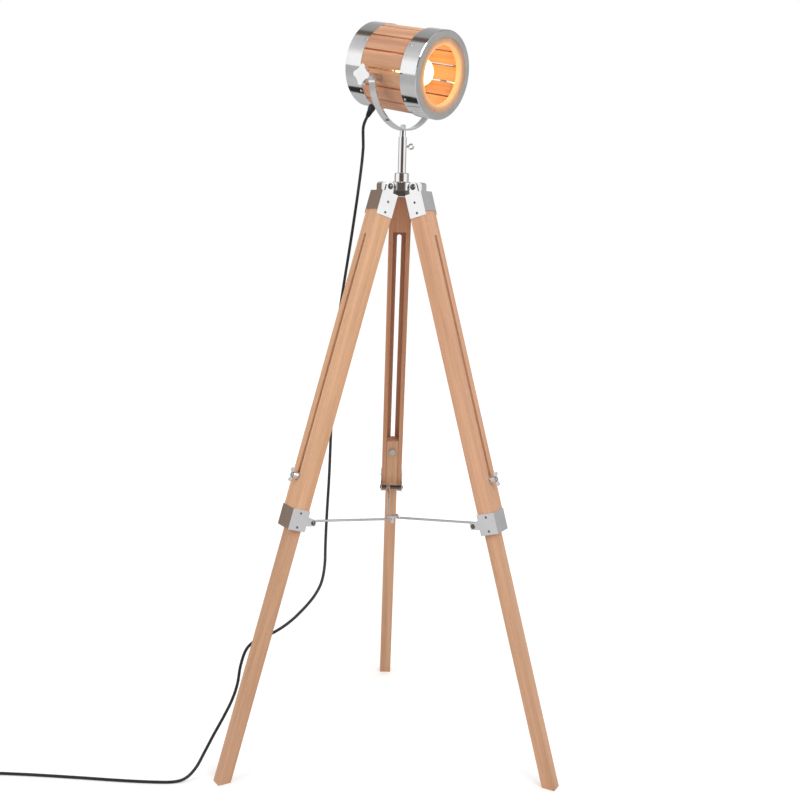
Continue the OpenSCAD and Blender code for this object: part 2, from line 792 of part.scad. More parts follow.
module bulb_glass() {
    neck_r = sqrt(bulb_d * bulb_d / 4 - bulb_neck * bulb_neck);
    color("ivory") along_barrel() difference() {
        union() {
            translate([0, 0, bulb_fwd]) sphere(d = bulb_d);
            translate([0, 0, cap_end])
                cylinder(r1 = cap_r, r2 = neck_r, h = bulb_fwd - bulb_neck - cap_end);
        }
        translate([0, 0, cap_end - bulb_d]) cylinder(r = bulb_d, h = bulb_d);
    }
}

// Strain relief under the rear band: a nut and a tapered sleeve that lean backwards
module gland() {
    color("black") intersection() {
        on_head() cross_rod(2 * gland_reach, barrel_len);
        along_barrel() difference() {
            translate([rear_band_r, 0, -gland_back]) rotate([0, 90 + gland_lean, 0]) gland_body();
            cylinder(r = rear_band_r, h = barrel_len, center = true);
        }
    }
}

module gland_body() {
    difference() {
        union() {
            translate([0, 0, -gland_root])
                cylinder(r = gland_nut_r, h = gland_root + gland_nut_h);
            cylinder(r1 = gland_tip_r + 2, r2 = gland_tip_r, h = gland_len);
        }
        translate([0, 0, -2 * gland_root])
            cylinder(d = cord_d + gap, h = 2 * gland_root + gland_len + over);
    }
}

// ---- Cord ----

function unit(v) = v / norm(v);
function clamped(p, i) = p[max(0, min(len(p) - 1, i))];
function direction(p, i) = unit(clamped(p, i + 1) - clamped(p, i - 1));
function ring(c, along, ref, r, sides) = let (u = unit(cross(ref, along)), v = cross(along, u))
    [for (k = [0 : sides - 1]) c + r * (cos(360 * k / sides) * u + sin(360 * k / sides) * v)];

// A smooth curve through the points of a route, in equal steps between each two
function between(a, b, c, d, t) = 0.5 * (2 * b + (c - a) * t + (2 * a - 5 * b + 4 * c - d) * t * t
    + (3 * b - a - 3 * c + d) * t * t * t);
function smooth(p, steps) = concat([for (i = [0 : len(p) - 2]) for (k = [0 : steps - 1])
    between(clamped(p, i - 1), p[i], p[i + 1], clamped(p, i + 2), k / steps)], [p[len(p) - 1]]);

module tube(path, d, ref, sides) {
    count = len(path);
    rings = [for (i = [0 : count - 1]) ring(path[i], direction(path, i), ref, d / 2, sides)];
    points = [for (r = rings) for (p = r) p];
    walls = [for (i = [0 : count - 2]) for (k = [0 : sides - 1]) let (a = i * sides,
        n = (k + 1) % sides) each [[a + k, a + sides + k, a + n],
        [a + n, a + sides + k, a + sides + n]]];
    first = [for (k = [1 : sides - 2]) [0, k, k + 1]];
    last = [for (k = [1 : sides - 2]) let (a = (count - 1) * sides) [a, a + k + 1, a + k]];
    polyhedron(points = points, faces = concat(walls, first, last));
}

module cord_neck() {
    behind = -cord_ref;
    path = [for (p = neck_route) [p[0] * behind[0], p[0] * behind[1], tilt_z + p[1]]];
    color("black") at_axis() tube(smooth(path, cord_steps), cord_d, cord_ref, cord_sides);
}

function coil_start() = [coil_centre[0] + cord_d, coil_centre[1] + coil_r_start, coil_z];

module cord() {
    run_in = coil_start() + [2 * cord_d, 0, 0];
    path = smooth(concat(cord_route, [run_in]), cord_steps);
    color("black") at_axis() tube(concat(path, [coil_start()]), cord_d, cord_ref, cord_sides);
}

// The coil spirals in, climbs to its upper layer in half a turn, and spirals out again
function coil_r(turn) = turn < coil_in_turns ? coil_r_start - coil_pitch * turn
    : turn < coil_in_turns + 0.5 ? coil_r_in : coil_r_in + coil_pitch * (turn - coil_in_turns - 0.5);
function coil_climb(turn) = max(0, min(1, (turn - coil_in_turns) / 0.5));
function coil_at(turn) = [coil_centre[0] + coil_r(turn) * cos(90 + 360 * turn),
    coil_centre[1] + coil_r(turn) * sin(90 + 360 * turn), coil_z + coil_step_z * coil_climb(turn)];
tail_y = coil_centre[1] + coil_r_end;
tail_z = coil_z + coil_step_z;
plug_x = coil_centre[0] - tail_flat - tail_fall - 2 * cord_d;
coil_path = concat([coil_start()],
    [for (i = [0 : coil_turns * coil_rings]) coil_at(i / coil_rings)],
    [[coil_centre[0] - tail_flat / 2, tail_y, tail_z], [coil_centre[0] - tail_flat, tail_y, tail_z],
        [coil_centre[0] - tail_flat - tail_fall / 2, tail_y, (tail_z + plug_t / 2) / 2],
        [coil_centre[0] - tail_flat - tail_fall, tail_y, plug_t / 2],
        [plug_x + cord_d, tail_y, plug_t / 2], [plug_x, tail_y, plug_t / 2]]);

module cord_coil() {
    color("dimgray") at_axis() tube(coil_path, cord_d, [0, 0, 1], coil_sides);
}

// Least gap between two parts of the coil that are over half a turn apart
coil_gap = min([for (i = [0 : len(coil_path) - 1]) for (k = [i + coil_rings / 2 : len(coil_path) - 1])
    norm(coil_path[i] - coil_path[k])]) - cord_d;
echo(coil_least_gap = coil_gap);

// Flat plug for a wall socket, with its own sleeve on the cord
module plug() {
    side_r = plug_t / 2;
    sleeve_wall = 1;
    color("black") at_axis() translate([plug_x, tail_y, side_r]) rotate([0, -90, 0]) {
        cylinder(r1 = cord_d / 2 + sleeve_wall, r2 = side_r - sleeve_wall, h = plug_sleeve);
        translate([0, 0, plug_sleeve]) {
            translate([-side_r, side_r - plug_w / 2, 0]) cube([plug_t, plug_w - plug_t, plug_len]);
            for (y = [-1, 1]) translate([0, y * (plug_w - plug_t) / 2, 0])
                cylinder(r = side_r, h = plug_len);
            for (y = [-1, 1]) translate([0, y * plug_pin_gap / 2, plug_len - over])
                cylinder(d = plug_pin_d, h = plug_pin_len + over);
        }
    }
}

// Band round the coil's turns, on the side away from the lamp
module coil_tie() {
    inner = [coil_r_in - cord_d / 2 - gap, coil_r_start + cord_d / 2 + gap];
    low = coil_z - cord_d / 2 - tie_gap;
    high = tail_z + cord_d / 2 + gap;
    color("dimgray") at_axis() translate([coil_centre[0], coil_centre[1], 0]) rotate([90, 0, 0])
        translate([0, 0, -tie_w / 2]) linear_extrude(tie_w) difference() {
            translate([-inner[1] - tie_t, low - tie_t])
                square([inner[1] - inner[0] + 2 * tie_t, high - low + 2 * tie_t]);
            translate([-inner[1], low]) square([inner[1] - inner[0], high - low]);
        }
}

// ---- The nodes ----

for (side = SIDES) {
    upper_leg(side);
    top_cap(side);
    nails(side);
    hub_bolt(side);
    mid_bracket(side);
    spreader_pin(side);
    spreader_rod(side);
    lower_leg(side);
    wing_bolt(side);
    wing_nut(side);
}
spreader_centre();
hub();
hub_nut();
collar();
stem_tube();
thumbscrew();
stem_rod();
yoke();
yoke_nut();
for (end = ENDS) {
    tilt_pivot(end);
    tilt_knob(end);
}
staves();
front_hoop();
rear_hoop();
front_band();
rear_band();
back_plate();
band_screws();
lampholder();
bulb_cap();
bulb_glass();
gland();
cord_neck();
cord();
cord_coil();
plug();
coil_tie();
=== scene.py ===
"""Tripod spotlight floor lamp: materials, detailed pieces, cord, light and camera."""
import math

import bmesh
import bpy
from mathutils import Euler, Matrix, Vector


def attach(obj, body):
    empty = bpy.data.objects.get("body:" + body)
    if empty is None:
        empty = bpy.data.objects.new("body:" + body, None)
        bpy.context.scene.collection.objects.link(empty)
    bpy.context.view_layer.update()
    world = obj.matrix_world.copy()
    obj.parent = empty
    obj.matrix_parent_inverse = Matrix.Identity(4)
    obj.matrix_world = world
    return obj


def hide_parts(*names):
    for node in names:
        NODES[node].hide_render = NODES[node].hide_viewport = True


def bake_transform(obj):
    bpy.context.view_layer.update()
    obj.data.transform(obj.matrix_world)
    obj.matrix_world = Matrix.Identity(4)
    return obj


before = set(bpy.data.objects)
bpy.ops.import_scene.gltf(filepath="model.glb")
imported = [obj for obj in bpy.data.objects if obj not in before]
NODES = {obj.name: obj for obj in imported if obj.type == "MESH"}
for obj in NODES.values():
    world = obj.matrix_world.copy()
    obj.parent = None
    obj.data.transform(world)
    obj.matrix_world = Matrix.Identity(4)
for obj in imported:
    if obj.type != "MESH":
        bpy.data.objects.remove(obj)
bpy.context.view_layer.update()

# ---- Places, in metres in the row frame ----

MM = 0.001
AXIS = Vector((0, -93.75 * MM, 0))  # the tripod's axis, on the floor
SIDES = {"left": 210, "right": 330, "rear": 90}  # azimuth of each leg, in degrees
SPLAY = math.radians(16.472)
HINGE_R, HINGE_Z = 32 * MM, 1160 * MM
HEAD_AZ, HEAD_TILT = math.radians(-39.5), math.radians(10.5)
TILT_Z = 1359 * MM
BARREL_FWD, BARREL_UP = 2 * MM, 24.41 * MM
REAR_R, BARREL_HALF = 80.5 * MM, 88 * MM
STAVES = 15
CORD_D = 6 * MM
RELIEF_BACK, RELIEF_LEN = 72 * MM, 22 * MM
RELIEF_LEAN = 24  # degrees, backwards


def turned(x=0.0, y=0.0, z=0.0):
    return Euler((x, y, z)).to_matrix().to_4x4()


# Origin on the hub bolt, Z up the leg, X through its outer face
LEG = {side: Matrix.Translation(AXIS) @ turned(z=math.radians(az))
       @ Matrix.Translation((HINGE_R, 0, HINGE_Z)) @ turned(y=-SPLAY)
       for side, az in SIDES.items()}
# Origin on the tilt axis, X ahead, Y to the head's left
YOKE = Matrix.Translation(AXIS + Vector((0, 0, TILT_Z))) @ turned(z=HEAD_AZ)
HEAD = YOKE @ turned(y=HEAD_TILT)
# Z ahead along the barrel's axis, X down
BARREL = (HEAD @ Matrix.Translation((BARREL_FWD, 0, BARREL_UP))
          @ turned(y=math.pi / 2))
# Z along the cord's strain relief, from the rear band outwards
RELIEF = (BARREL @ Matrix.Translation((REAR_R, 0, -RELIEF_BACK))
          @ turned(y=math.radians(90 + RELIEF_LEAN)))

# ---- Material nodes ----


class Nodes:
    """Builds one node material, or adds to the world's nodes."""

    def __init__(self, name, world=None):
        self.mat = world or bpy.data.materials.new(name)
        self.mat.use_nodes = True
        self.tree = self.mat.node_tree
        self.shader = self.tree.nodes["Background" if world else "Principled BSDF"]

    def add(self, kind, inputs=(), **settings):
        node = self.tree.nodes.new(kind)
        for key, value in settings.items():
            setattr(node, key, value)
        for key, value in dict(inputs).items():
            self.put(value, node.inputs[key])
        return node

    def put(self, value, socket):
        if isinstance(value, bpy.types.NodeSocket):
            self.tree.links.new(value, socket)
        else:
            socket.default_value = value

    def set(self, **inputs):
        for key, value in inputs.items():
            self.put(value, self.shader.inputs[key.replace("_", " ")])

    def place(self, matrix=None):
        """Object coordinates, in the frame of a matrix."""
        out = self.add("ShaderNodeTexCoord").outputs["Object"]
        if matrix is None:
            return out
        inputs = {"Vector": out, "Location": matrix.translation, "Rotation": matrix.to_euler()}
        return self.add("ShaderNodeMapping", inputs, vector_type="TEXTURE").outputs[0]

    def vector(self, op, a, b=(0, 0, 0), out=0):
        return self.add("ShaderNodeVectorMath", {0: a, 1: b}, operation=op).outputs[out]

    def stretch(self, vector, scale):
        return self.vector("MULTIPLY", vector, scale)

    def noise(self, vector, scale=1.0, detail=4.0, rough=0.55, distortion=0.0):
        inputs = {"Vector": vector, "Scale": scale, "Detail": detail,
                  "Roughness": rough, "Distortion": distortion}
        return self.add("ShaderNodeTexNoise", inputs).outputs["Fac"]

    def math(self, op, a, b=0.0):
        return self.add("ShaderNodeMath", {0: a, 1: b}, operation=op).outputs[0]

    def span(self, value, low, high, to_low=0.0, to_high=1.0):
        inputs = {"Value": value, "From Min": low, "From Max": high,
                  "To Min": to_low, "To Max": to_high}
        return self.add("ShaderNodeMapRange", inputs).outputs[0]

    def ramp(self, value, stops):
        node = self.add("ShaderNodeValToRGB", {"Fac": value})
        points = node.color_ramp.elements
        while len(points) < len(stops):
            points.new(0.5)
        for point, (at, colour) in zip(points, stops):
            point.position, point.color = at, (*colour, 1)
        return node.outputs[0]

    def mix(self, fac, a, b, blend="MIX"):
        node = self.add("ShaderNodeMix", {0: fac}, data_type="RGBA", blend_type=blend)
        self.put(a if isinstance(a, bpy.types.NodeSocket) else (*a, 1), node.inputs[6])
        self.put(b if isinstance(b, bpy.types.NodeSocket) else (*b, 1), node.inputs[7])
        return node.outputs[2]

    def bump(self, height, strength, distance):
        inputs = {"Height": height, "Strength": strength, "Distance": distance}
        return self.add("ShaderNodeBump", inputs).outputs[0]


def rgb(*values):
    """A linear colour from sRGB numbers of 0 to 255."""
    return tuple(v / 255 / 12.92 if v <= 10 else ((v / 255 + 0.055) / 1.055) ** 2.4
                 for v in values)


def darker(colour, share):
    return tuple(c * share for c in colour)


def grey(value):
    return (value, value, value)


# Cells in a metre for each layer of the grain: twice across it, then along it
BROAD, LINES = (38, 38, 1.6), (260, 260, 5)
FIBRE, FLECK = (1500, 1500, 60), (900, 900, 130)
GRAIN_DEPTH, FINE_DEPTH = 0.0004, 0.0002
EACH_STAVE = [(0.0, (0.82, 0.74, 0.72)), (0.35, (1.0, 0.93, 0.93)), (1.0, (1.08, 1.06, 1.0))]


def wood(name, matrix, base, dark, seed, tint=None):
    """Fine straight-grained wood, its grain along the matrix's Z."""
    n = Nodes(name)
    at = n.vector("ADD", n.place(matrix), (seed, seed * 1.7, seed * 0.6))
    broad = n.noise(n.stretch(at, BROAD), detail=5, rough=0.6, distortion=0.4)
    lines = n.noise(n.stretch(at, LINES), detail=3, rough=0.6)
    fibre = n.noise(n.stretch(at, FIBRE), detail=2)
    fleck = n.noise(n.stretch(at, FLECK), detail=1)
    pale = tuple(min(1, c * 1.12 + 0.015) for c in base)
    colour = n.ramp(broad, [(0.3, dark), (0.5, base), (0.72, pale)])
    colour = n.mix(n.span(lines, 0.42, 0.62, 0.16, 0), colour, darker(dark, 0.55))
    colour = n.mix(n.span(fibre, 0.4, 0.6, 0.10, 0), colour, darker(dark, 0.5))
    colour = n.mix(n.span(fleck, 0.64, 0.72, 0, 0.22), colour, darker(dark, 0.35))
    if tint:
        colour = tint(n, colour)
    rough = n.span(n.math("ADD", lines, fibre), 0.7, 1.3, 0.42, 0.6)
    n.set(Base_Color=colour, Roughness=rough,
          Normal=n.bump(n.math("ADD", fibre, fleck), 0.25, GRAIN_DEPTH))
    n.shader.inputs["Coat Weight"].default_value = 0.08
    n.shader.inputs["Coat Roughness"].default_value = 0.35
    return n.mat


def stave_tints(n, colour):
    """Each stave round the barrel gets its own shade."""
    at = n.add("ShaderNodeSeparateXYZ", {0: n.place(BARREL)}).outputs
    turn = n.math("ARCTAN2", at[1], at[0])
    index = n.math("DIVIDE", n.math("ADD", turn, math.pi), 2 * math.pi / STAVES)
    index = n.math("FLOOR", index)
    pick = n.add("ShaderNodeTexWhiteNoise", {"W": n.math("ADD", index, 3.3)},
                 noise_dimensions="1D").outputs["Value"]
    return n.mix(1.0, colour, n.ramp(pick, EACH_STAVE), blend="MULTIPLY")


def metal(name, colour, low, high, matrix=None, brushed=None, scratch=0.05):
    """Plated or turned metal, with a faint cloud in its roughness and fine scratches."""
    n = Nodes(name)
    at = n.place(matrix)
    cloud = n.noise(at, scale=22, detail=5)
    fine = n.noise(n.stretch(at, brushed) if brushed else at,
                   scale=1 if brushed else 900, detail=2)
    worn = n.math("ADD", cloud, n.math("MULTIPLY", fine, 0.5))
    n.set(Base_Color=n.mix(n.span(cloud, 0.35, 0.65), darker(colour, 0.93), colour),
          Metallic=1.0, Roughness=n.span(worn, 0.55, 0.95, low, high),
          Normal=n.bump(fine, scratch, FINE_DEPTH))
    return n.mat


def moulded(name, colour, rough, scale, strength, sheen=0.0):
    """Moulded plastic, rubber or glazed ware with a fine grain and a little dust."""
    n = Nodes(name)
    at = n.place()
    grain = n.noise(at, scale=scale, detail=3)
    dust = n.noise(at, scale=9, detail=5)
    dusty = tuple(c * 1.5 + 0.01 for c in colour)
    n.set(Base_Color=n.mix(n.span(dust, 0.45, 0.75, 0, 0.35), colour, dusty),
          Roughness=n.span(grain, 0.3, 0.7, rough - 0.06, rough + 0.08),
          Normal=n.bump(grain, strength, FINE_DEPTH))
    n.shader.inputs["Sheen Weight"].default_value = sheen
    return n.mat


GLOW_MIDDLE, GLOW_EDGE, GLOW_POWER = (1.0, 0.80, 0.34), (1.0, 0.74, 0.24), (5.2, 3.0)
# Painted light: the colour of the glow painted on the hoops' inner edge, and the radii in mm over
# which it fades
PAINTED_RIM_GLOW, RIM_IN, RIM_OUT = (1.0, 0.50, 0.16, 1), 55.2 * MM, 66 * MM


def lit_glass():
    """Opal glass of a lit bulb: brightest in its middle."""
    n = Nodes("lit_opal_glass")
    edge = n.add("ShaderNodeLayerWeight", {"Blend": 0.25}).outputs["Facing"]
    cloud = n.noise(n.place(BARREL), scale=30, detail=3)
    n.set(Base_Color=(0.95, 0.92, 0.86, 1), Roughness=n.span(cloud, 0.3, 0.7, 0.18, 0.26),
          Emission_Color=n.ramp(edge, [(0.0, GLOW_MIDDLE), (1.0, GLOW_EDGE)]),
          Emission_Strength=n.span(edge, 0.0, 1.0, *GLOW_POWER))
    return n.mat


def painted_rim_glow(n, colour):
    """Painted light: an emission glow on the inner edge of the hoops stands in for the bulb's light
    falling there.
    """
    at = n.place(BARREL)
    out = n.vector("LENGTH", n.stretch(at, (1, 1, 0)), out="Value")
    ring = n.span(out, RIM_IN, RIM_OUT, 1.0, 0.0)
    n.set(Emission_Color=PAINTED_RIM_GLOW,
          Emission_Strength=n.math("MULTIPLY", n.math("POWER", ring, 1.6), 0.55))
    return colour


# Each wood's own colour and its darker grain
LEG_TONES = {"left": (rgb(232, 181, 141), rgb(213, 158, 117)),
             "right": (rgb(226, 174, 138), rgb(206, 152, 116)),
             "rear": (rgb(212, 156, 119), rgb(190, 133, 97))}
BAR_TONES = rgb(217, 168, 132), rgb(199, 148, 112)
STAVE_TONES = rgb(220, 170, 135), rgb(194, 141, 107)
HOOP_TONES = rgb(214, 166, 130), rgb(196, 146, 110)
leg_wood = {side: wood(f"beech_{side}_leg", LEG[side], *LEG_TONES[side], seed=2.0 + i)
            for i, side in enumerate(SIDES)}
bar_wood = {side: wood(f"beech_{side}_bar", LEG[side], *BAR_TONES, seed=7.0 + i)
            for i, side in enumerate(SIDES)}
head_wood = wood("beech_staves", BARREL, *STAVE_TONES, seed=12.0, tint=stave_tints)
# The hoops' wood carries a painted glow of the bulb's light on its inner edge
hoop_wood = wood("beech_hoops", YOKE, *HOOP_TONES, seed=15.0, tint=painted_rim_glow)
SILVER = (0.91, 0.91, 0.92)
chrome = metal("polished_chrome", SILVER, 0.04, 0.10)
band_chrome = metal("rolled_chrome_band", SILVER, 0.05, 0.11, BARREL,
                    brushed=(40, 40, 900), scratch=0.03)
satin = metal("satin_lip", (0.74, 0.74, 0.72), 0.28, 0.4, BARREL, scratch=0.1)
dark_steel = metal("dark_nail_steel", (0.22, 0.20, 0.19), 0.18, 0.3)
steel = metal("zinc_steel", (0.72, 0.72, 0.73), 0.2, 0.34)
hub_metal = metal("dark_cast_hub", (0.30, 0.27, 0.26), 0.22, 0.36, scratch=0.15)
brass = metal("lamp_cap", (0.83, 0.78, 0.66), 0.2, 0.32)
porcelain = moulded("glazed_porcelain", (0.80, 0.79, 0.75), 0.16, 60, 0.04)
rubber = moulded("cord_rubber", rgb(34, 34, 36), 0.46, 900, 0.2, sheen=0.1)
plastic = moulded("black_plastic", rgb(28, 28, 30), 0.36, 800, 0.15)
glow = lit_glass()

# ---- Finishes of the CAD nodes ----


SHARP = 35  # degrees between two faces, from which their edge is softened
LIP = 0.3 * MM  # faces this close to the barrel's end belong to the lip


def finish_node(name, material):
    slots = NODES[name].data.materials
    if not slots:
        slots.append(material)
    for i in range(len(slots)):
        slots[i] = material


def soften(name, width, segments=2):
    """Rounds a node's sharp edges by a width in mm, on its modifiers alone."""
    obj = NODES[name]
    bevel = obj.modifiers.new("edges", "BEVEL")
    bevel.width, bevel.segments = width * MM, segments
    bevel.limit_method, bevel.angle_limit = "ANGLE", math.radians(SHARP)
    bevel.harden_normals = True


for side in SIDES:
    finish_node(f"upper_leg_{side}", leg_wood[side])
    finish_node(f"lower_leg_{side}", bar_wood[side])
    for part, material in (("top_cap", chrome), ("nails", dark_steel), ("hub_bolt", dark_steel),
                           ("mid_bracket", chrome), ("spreader_pin", dark_steel),
                           ("spreader_rod", steel), ("wing_bolt", steel), ("wing_nut", chrome)):
        finish_node(f"{part}_{side}", material)
    soften(f"upper_leg_{side}", 0.9)
    soften(f"lower_leg_{side}", 0.8)
    soften(f"wing_nut_{side}", 0.5)
for end in ("left", "right"):
    finish_node(f"tilt_pivot_{end}", steel)
    finish_node(f"tilt_knob_{end}", chrome)
    soften(f"tilt_knob_{end}", 1.0, 3)
for part, material in (("spreader_centre", chrome), ("hub", chrome), ("hub_nut", hub_metal),
                       ("collar", chrome), ("stem_tube", chrome), ("thumbscrew", chrome),
                       ("stem_rod", chrome), ("yoke", chrome), ("yoke_nut", steel),
                       ("staves", head_wood), ("front_hoop", hoop_wood), ("rear_hoop", hoop_wood),
                       ("front_band", band_chrome), ("rear_band", band_chrome),
                       ("back_plate", satin), ("band_screws", steel), ("lampholder", porcelain),
                       ("bulb_cap", brass), ("bulb_glass", glow), ("gland", plastic),
                       ("plug", plastic), ("coil_tie", plastic)):
    finish_node(part, material)
soften("staves", 0.5)


def paint_faces(name, material, pick):
    """Gives a second material to the faces whose centre, in the row frame, is picked."""
    obj = NODES[name]
    obj.data.materials.append(material)
    last = len(obj.data.materials) - 1
    for face in obj.data.polygons:
        if pick(obj.matrix_world @ face.center):
            face.material_index = last


paint_faces("front_band", satin, lambda p: (BARREL.inverted() @ p).z > BARREL_HALF - LIP)

# ---- Cord ----

# The same route as the CAD cord's, in mm from the tripod's axis on the floor
ROUTE = [(-77.6, 64, 1239), (-80, 62, 1205), (-86, 58, 1150), (-93.5, 54, 1090), (-101.5, 51, 1030),
         (-110, 50, 970), (-119, 49, 900), (-126, 47, 820), (-129.5, 44, 730), (-131.5, 40, 640),
         (-133, 33, 565), (-136, 22, 484), (-137, 8, 430), (-137, -8, 390), (-142, -26, 358),
         (-155, -43, 334), (-175, -62, 313), (-200, -82, 293), (-226, -97, 278), (-252, -106, 267),
         (-274, -109, 256), (-288, -110, 238), (-297, -115, 208), (-302, -121, 174),
         (-312, -125, 142), (-328, -130, 108), (-346, -140, 75), (-362, -155, 45), (-376, -172, 21),
         (-393, -187, 7), (-415, -196, 3.2), (-455, -198, 3.2), (-520, -194, 3.2),
         (-600, -186, 3.2), (-690, -178, 3.2), (-760, -174, 3.2), (-800, -173, 3.6)]
COIL_LEAD = (-810, -173, 3.9)
COIL = Vector((-828, -216, 3.9))
# The coil winds in on the floor, climbs a step in half a turn and winds out on top
COIL_STEP, COIL_PITCH, COIL_IN, COIL_CLIMB, COIL_OUT, COIL_RINGS = 6.6, 8, 2.5, 0.5, 2, 24
COIL_R = 33
COIL_R_IN = COIL_R - COIL_PITCH * COIL_IN / 2
COIL_R_OUT = COIL_R_IN + COIL_PITCH * COIL_IN
PLUG_X, PLUG_Z, PLUG_LEN = -896, 7, 52.2
ROUTE_STEPS, COIL_STEPS = 6, 2  # points that smooth() makes of one
# Heights in metres where its pieces meet, and the point of ROUTE from which it lies still
STEM_Z, LEGS_Z, SETTLED = 1.130, 0.940, 10
NECK_BACKS, NECK_STRAIGHT = (14, 6), 7  # mm inside the sleeve, and mm outside it
NECK_BEND_R, NECK_END = 38 * MM, math.radians(94)
NECK_ARC, NECK_FALL = 5, 5  # steps round the bend, and down from it


def coil_point(turn):
    if turn < COIL_IN:
        r, climb = COIL_R_OUT - COIL_PITCH * turn, 0
    else:
        climb = min(1, (turn - COIL_IN) / COIL_CLIMB)
        r = COIL_R_IN + COIL_PITCH * max(0, turn - COIL_IN - COIL_CLIMB)
    a = math.radians(90 + 360 * turn)
    return COIL + Vector((r * math.cos(a), r * math.sin(a), COIL_STEP * climb))


def coil_path():
    count = int((COIL_IN + COIL_CLIMB + COIL_OUT) * COIL_RINGS)
    points = [COIL + Vector((18, COIL_R_OUT, 0)), COIL + Vector((6, COIL_R_OUT, 0))]
    points += [coil_point(i / COIL_RINGS) for i in range(count + 1)]
    end = points[-1]
    points += [end + Vector((-15, 0, 0)), end + Vector((-30, 0, 0)),
               Vector((PLUG_X + 25, end.y, PLUG_Z + 1.75))]
    return points + [Vector((PLUG_X + ahead, end.y, PLUG_Z)) for ahead in (12, 6, 0)]


def in_row(points):
    return [Vector(p) * MM + AXIS for p in points]


def smooth(points, steps):
    """A Catmull-Rom curve through points."""
    ends = [points[0] * 2 - points[1]] + points + [points[-1] * 2 - points[-2]]
    out = []
    for a, b, c, d in zip(ends, ends[1:], ends[2:], ends[3:]):
        for k in range(steps):
            t = k / steps
            out.append(0.5 * (2 * b + (c - a) * t + (2 * a - 5 * b + 4 * c - d) * t * t
                              + (3 * b - a - 3 * c + d) * t ** 3))
    return out + [points[-1]]


def mesh_object(name, bm, material, smooth_shaded=False):
    mesh = bpy.data.meshes.new(name)
    bmesh.ops.recalc_face_normals(bm, faces=bm.faces)
    bm.to_mesh(mesh)
    bm.free()
    for face in mesh.polygons:
        face.use_smooth = smooth_shaded
    obj = bpy.data.objects.new(name, mesh)
    mesh.materials.append(material)
    bpy.context.scene.collection.objects.link(obj)
    return obj


def loft(name, rings, material, smooth_shaded=False):
    """A closed skin over rings of points, with a face across each end."""
    bm = bmesh.new()
    rings = [[bm.verts.new(point) for point in ring] for ring in rings]
    sides = len(rings[0])
    for low, high in zip(rings, rings[1:]):
        for k in range(sides):
            bm.faces.new((low[k], low[(k + 1) % sides], high[(k + 1) % sides], high[k]))
    bm.faces.new(rings[0][::-1])
    bm.faces.new(rings[-1])
    return mesh_object(name, bm, material, smooth_shaded)


def tube(name, path, radius, material, sides=14):
    """A closed tube along a path, its rings kept from twisting."""
    rings, side = [], None
    for i, point in enumerate(path):
        along = (path[min(i + 1, len(path) - 1)] - path[max(i - 1, 0)]).normalized()
        side = along.orthogonal() if side is None else side - along * side.dot(along)
        side.normalize()
        up = along.cross(side)
        rings.append([point + radius * (math.cos(a) * side + math.sin(a) * up)
                      for a in (2 * math.pi * k / sides for k in range(sides))])
    return loft(name, rings, material, smooth_shaded=True)


def neck_points():
    """Straight out of the strain relief, round one bend, and straight on to the route."""
    tip = RELIEF @ Vector((0, 0, RELIEF_LEN))
    way = (RELIEF.to_3x3() @ Vector((0, 0, 1))).normalized()
    back = Vector((-math.cos(HEAD_AZ), -math.sin(HEAD_AZ), 0))
    first = math.atan2(-way.z, way.dot(back))
    low = tip + way * NECK_STRAIGHT * MM
    points = [tip - way * back_by * MM for back_by in NECK_BACKS] + [tip]
    for k in range(NECK_ARC + 1):
        a = first + (NECK_END - first) * k / NECK_ARC
        points.append(low + NECK_BEND_R * (back * (math.sin(a) - math.sin(first))
                                           + Vector((0, 0, math.cos(a) - math.cos(first)))))
    end = in_row(ROUTE[:1])[0]
    return points + [points[-1].lerp(end, k / NECK_FALL) for k in range(1, NECK_FALL + 1)]


# Three pieces, split where the cord passes the stem and the legs
neck_path = smooth(neck_points(), ROUTE_STEPS)
route = smooth(in_row(ROUTE + [COIL_LEAD]), ROUTE_STEPS)
at_stem, at_legs = (next(i for i, p in enumerate(route) if p.z < z) for z in (STEM_Z, LEGS_Z))
neck_path = neck_path[:-1] + route[:at_stem + 1]
swivel_path, fall_path = route[at_stem:at_legs + 1], route[at_legs:]
fall_path = fall_path[:-1] + smooth(in_row(coil_path()), COIL_STEPS)
neck = tube("cord_at_head", neck_path, CORD_D / 2, rubber)
swivel = tube("cord_at_stem", swivel_path, CORD_D / 2, rubber)
fall = tube("cord_to_plug", fall_path, CORD_D / 2, rubber)
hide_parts("cord_neck", "cord")
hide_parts("cord")
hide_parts("cord", "cord_coil")
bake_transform(neck)
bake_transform(swivel)
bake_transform(fall)

# ---- Pieces fuller than their solids ----


# (radius, height) in mm from the rear band; each rib is a flat top, a slope and a groove
NUT = [(7.2, -3.5), (8, -2.8), (8, 6), (7.2, 7)]
SLEEVE_FOOT, SLEEVE_TIP = [(6.4, 6.5), (6.6, 8)], [(4.2, 20.8), (4.2, 21.6), (3.8, 22)]
RIBS, RIB_FROM, RIB_PITCH, RIB_R, RIB_TAPER, RIB_DEPTH = 5, 8.6, 2.4, 6.2, 0.36, 1.1
RIB_TOP, RIB_SLOPE, GROOVE_END = 1.1, 1.4, 2.1
# The lap, in mm and degrees round the barrel
LAP_SECTION = ((82.4, 50.2), (83.0, 50.2), (83.0, 86.6), (82.4, 86.6))
LAP_FROM, LAP_STEP, LAP_STEPS = -90 - 18.4, 1.1, 8


def turned_point(matrix, r, a, z):
    return matrix @ (Vector((r * math.cos(a), r * math.sin(a), z)) * MM)


def lathe(name, profile, matrix, material, sides=32):
    """A closed turned piece from (radius, height) points in mm, standing in a matrix."""
    angles = [2 * math.pi * k / sides for k in range(sides)]
    return loft(name, [[turned_point(matrix, r, a, z) for a in angles] for r, z in profile],
                material)


